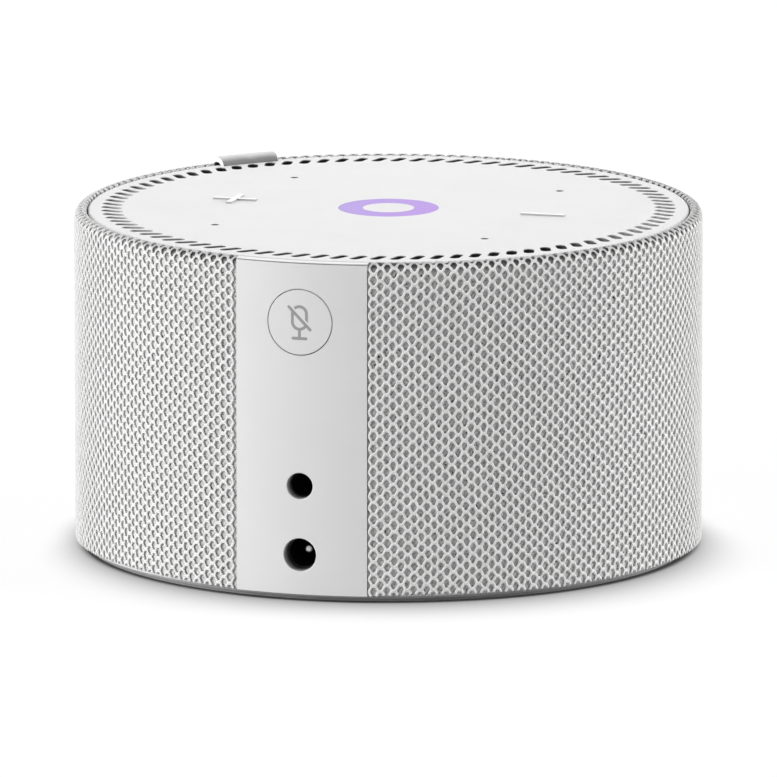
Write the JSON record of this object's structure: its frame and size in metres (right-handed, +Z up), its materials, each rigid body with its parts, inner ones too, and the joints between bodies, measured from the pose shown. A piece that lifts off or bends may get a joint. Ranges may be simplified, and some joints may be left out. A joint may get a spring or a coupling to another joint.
{
  "type": "smart speaker",
  "caption": "Round table-top smart speaker in a fabric sleeve, with a slotted white top, a lit ring, touch keys, and a rear panel with mute button, audio socket and power socket.",
  "frame": {"origin": "on the table, under the middle of the round foot", "axes": "+Z up along the cylinder's axis, the rear panel with its sockets faces -Y, the minus mark lies at +X"},
  "size_m": [0.09, 0.09, 0.0495],
  "materials": {
    "cover_white": "satin",
    "panel_grey": "satin",
    "fabric_grey": "open knit",
    "shell_grey": "moulded",
    "base_dark": "moulded",
    "foot_rubber": "matte",
    "tab_soft": "soft matte",
    "light_violet": "translucent, lit",
    "black_plastic": "moulded",
    "contact_brass": "plated",
    "pin_bright": "polished",
    "steel": "zinc plated",
    "board_green": "solder mask",
    "emitter_white": "clear",
    "foam_black": "foam",
    "cloth_black": "fine mesh",
    "basket_black": "satin",
    "magnet_grey": "ground",
    "cone_paper": "pressed paper",
    "coil_copper": "enamelled",
    "surround_rubber": "matte",
    "spider_cloth": "pressed cloth"
  },
  "bodies": {
    "housing": {"audio_jack": "black_plastic", "audio_jack_contacts": "contact_brass", "base_foot": "foot_rubber", "base_plate": "base_dark", "base_screws": "steel", "board_chips": "black_plastic", "body_shell": "shell_grey", "centre_cap": "cover_white", "chamber_screws": "steel", "edge_connector": "black_plastic", "fabric_sleeve": "fabric_grey", "io_board": "board_green", "io_board_screws": "steel", "light_emitters": "emitter_white", "light_lens": "light_violet", "light_shroud": "black_plastic", "mic_gaskets": "foam_black", "microphones": "black_plastic", "mute_switch": "black_plastic", "power_jack": "black_plastic", "power_jack_contacts": "contact_brass", "power_jack_pin": "pin_bright", "pull_tab": "tab_soft", "rear_panel": "panel_grey", "shield_can": "steel", "slot_cloth": "cloth_black", "speaker_basket": "basket_black", "speaker_chamber": "black_plastic", "speaker_gasket": "foam_black", "speaker_header": "black_plastic", "speaker_leads": "surround_rubber", "speaker_magnet": "magnet_grey", "speaker_plate": "steel", "speaker_screws": "steel", "speaker_spider": "spider_cloth", "speaker_surround": "surround_rubber", "speaker_terminals": "contact_brass", "speaker_yoke": "steel", "top_board": "board_green", "top_board_screws": "steel", "top_cover": "cover_white", "touch_pads": "foam_black"},
    "mute": {"mute_button": "panel_grey", "mute_switch_plunger": "black_plastic"},
    "diaphragm": {"speaker_cone": "cone_paper", "dust_cap": "cone_paper", "voice_coil": "coil_copper"}
  },
  "joints": [
    {"name": "mute_press", "type": "slide", "parent": "housing", "child": "mute", "axis": [0, 1, 0], "range_m": [0, 0.0004], "stiffness_N_per_m": 2500, "springref_m": -0.0002},
    {"name": "cone_travel", "type": "slide", "parent": "housing", "child": "diaphragm", "axis": [0, 0, 1], "range_m": [-0.0015, 0.0015], "stiffness_N_per_m": 1600, "deforming": ["speaker_surround", "speaker_spider"]}
  ]
}
